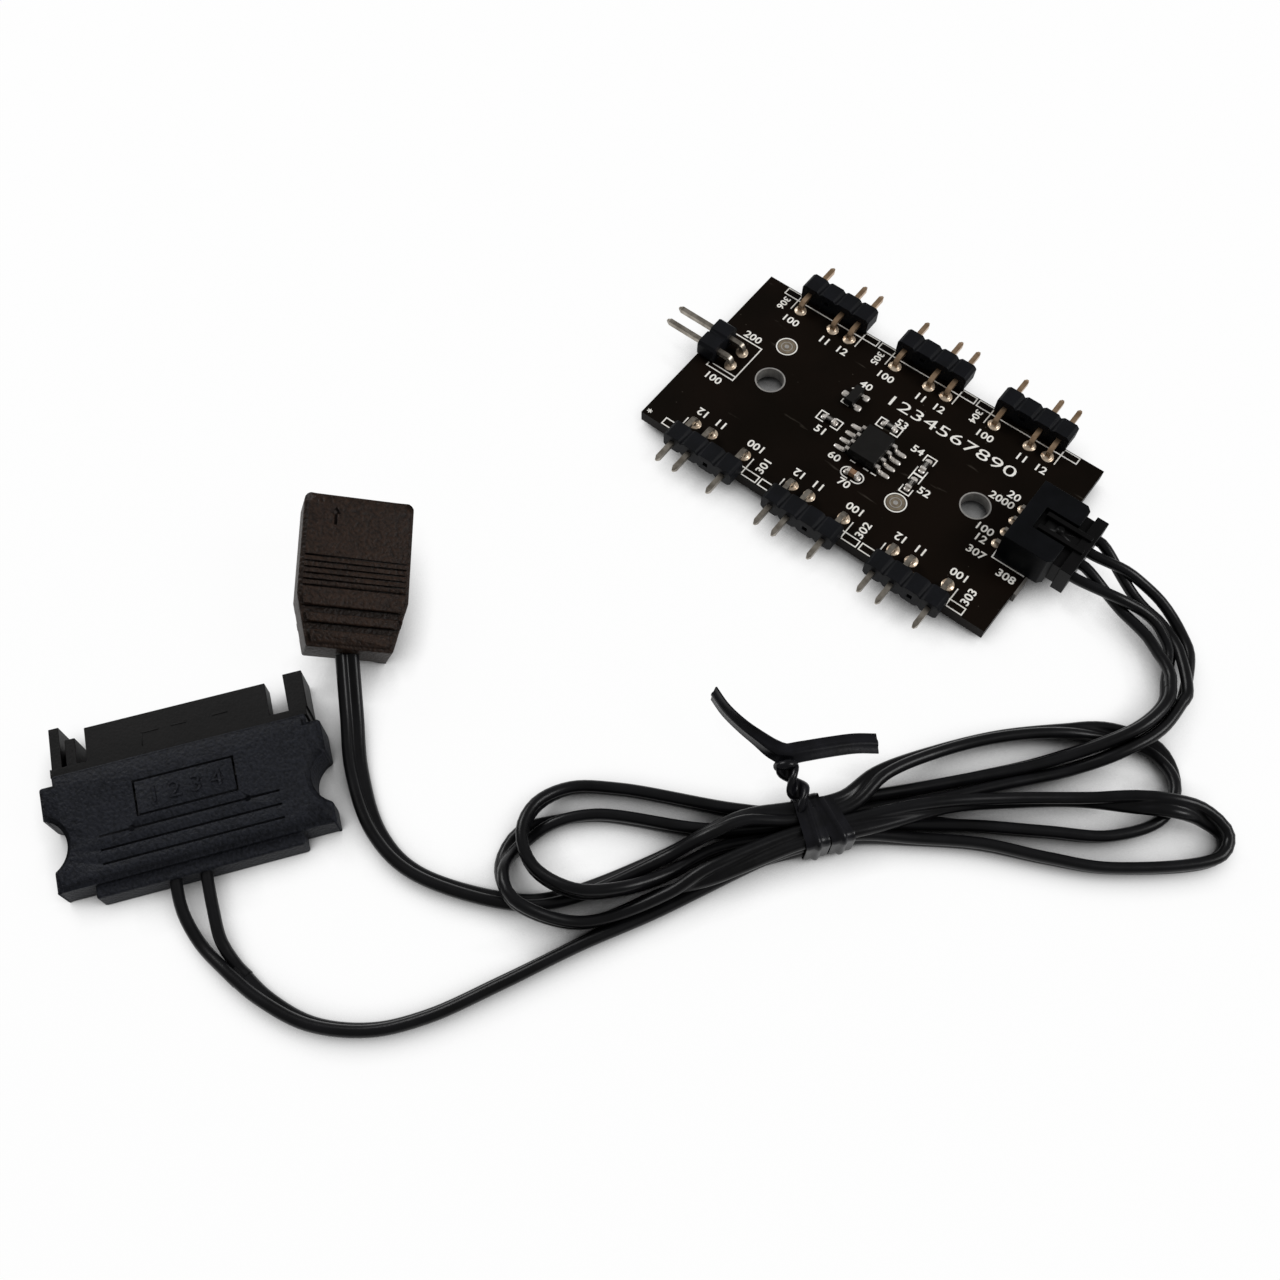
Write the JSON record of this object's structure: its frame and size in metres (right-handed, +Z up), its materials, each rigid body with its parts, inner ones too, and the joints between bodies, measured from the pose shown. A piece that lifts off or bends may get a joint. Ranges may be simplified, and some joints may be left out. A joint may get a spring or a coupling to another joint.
{
  "type": "addressable lighting controller board",
  "caption": "Small flat controller board with pin headers on two long edges, a locking power connector on one end and two tied flat leads to moulded plugs.",
  "frame": {"origin": "below the middle of the board and its headers, on the surface that the soldered pin ends stand on", "axes": "+X along the long side towards the power connector, +Y towards the rear edge, +Z up from the board's printed face"},
  "size_m": [0.108, 0.1191, 0.0123],
  "materials": {
    "board_laminate": "glass-fibre board with black solder mask, semi-gloss",
    "print_ink": "white printed ink, matt",
    "bare_pads": "gold-flashed copper, satin",
    "strip_plastic": "black moulded nylon, semi-gloss",
    "pin_metal": "gold-flashed brass pins, satin",
    "solder": "bright tin solder",
    "shroud_plastic": "black moulded nylon, semi-gloss",
    "housing_plastic": "black moulded nylon, semi-gloss",
    "tinned_contacts": "tinned brass, satin",
    "chip_mould": "black epoxy mould, matt",
    "chip_leads": "tinned copper leads, bright",
    "resistor_body": "dark glaze over ceramic between tinned ends",
    "capacitor_body": "tan ceramic between tinned ends",
    "drive_plug_plastic": "blue-black moulded plastic with a fine grain",
    "insulator_plastic": "blue-black moulded plastic with a fine grain",
    "light_plug_plastic": "brown-black moulded plastic with a fine grain",
    "socket_plastic": "black moulded plastic",
    "contact_metal": "gold-flashed spring metal",
    "lead_jacket": "black soft vinyl jacket, glossy",
    "tie_plastic": "black translucent plastic over a thin wire"
  },
  "bodies": {
    "root": {"pcb": "board_laminate", "silkscreen": "print_ink", "round_pads": "bare_pads", "front_strip_1": "strip_plastic", "front_strip_2": "strip_plastic", "front_strip_3": "strip_plastic", "front_pins_1": "pin_metal", "front_pins_2": "pin_metal", "front_pins_3": "pin_metal", "rear_strip_1": "strip_plastic", "rear_strip_2": "strip_plastic", "rear_strip_3": "strip_plastic", "rear_pins_1": "pin_metal", "rear_pins_2": "pin_metal", "rear_pins_3": "pin_metal", "key_strip": "strip_plastic", "key_pins": "pin_metal", "header_solder": "solder", "key_solder": "solder", "power_shroud": "shroud_plastic", "power_pins": "tinned_contacts", "power_solder": "solder", "cable_housing": "housing_plastic", "cable_contacts": "tinned_contacts", "controller_chip": "chip_mould", "chip_leads": "chip_leads", "transistor": "chip_mould", "transistor_leads": "chip_leads", "resistor_1": "resistor_body", "resistor_2": "resistor_body", "resistor_3": "resistor_body", "resistor_4": "resistor_body", "capacitor": "capacitor_body", "component_solder": "solder", "drive_plug_grip": "drive_plug_plastic", "drive_plug_hood": "insulator_plastic", "drive_plug_contacts": "contact_metal", "light_plug_body": "light_plug_plastic", "light_plug_socket": "socket_plastic", "light_plug_contacts": "contact_metal", "drive_lead": "lead_jacket", "light_lead": "lead_jacket", "twist_tie": "tie_plastic", "tie_neck": "tie_plastic", "tie_ends": "tie_plastic"}
  },
  "joints": []
}
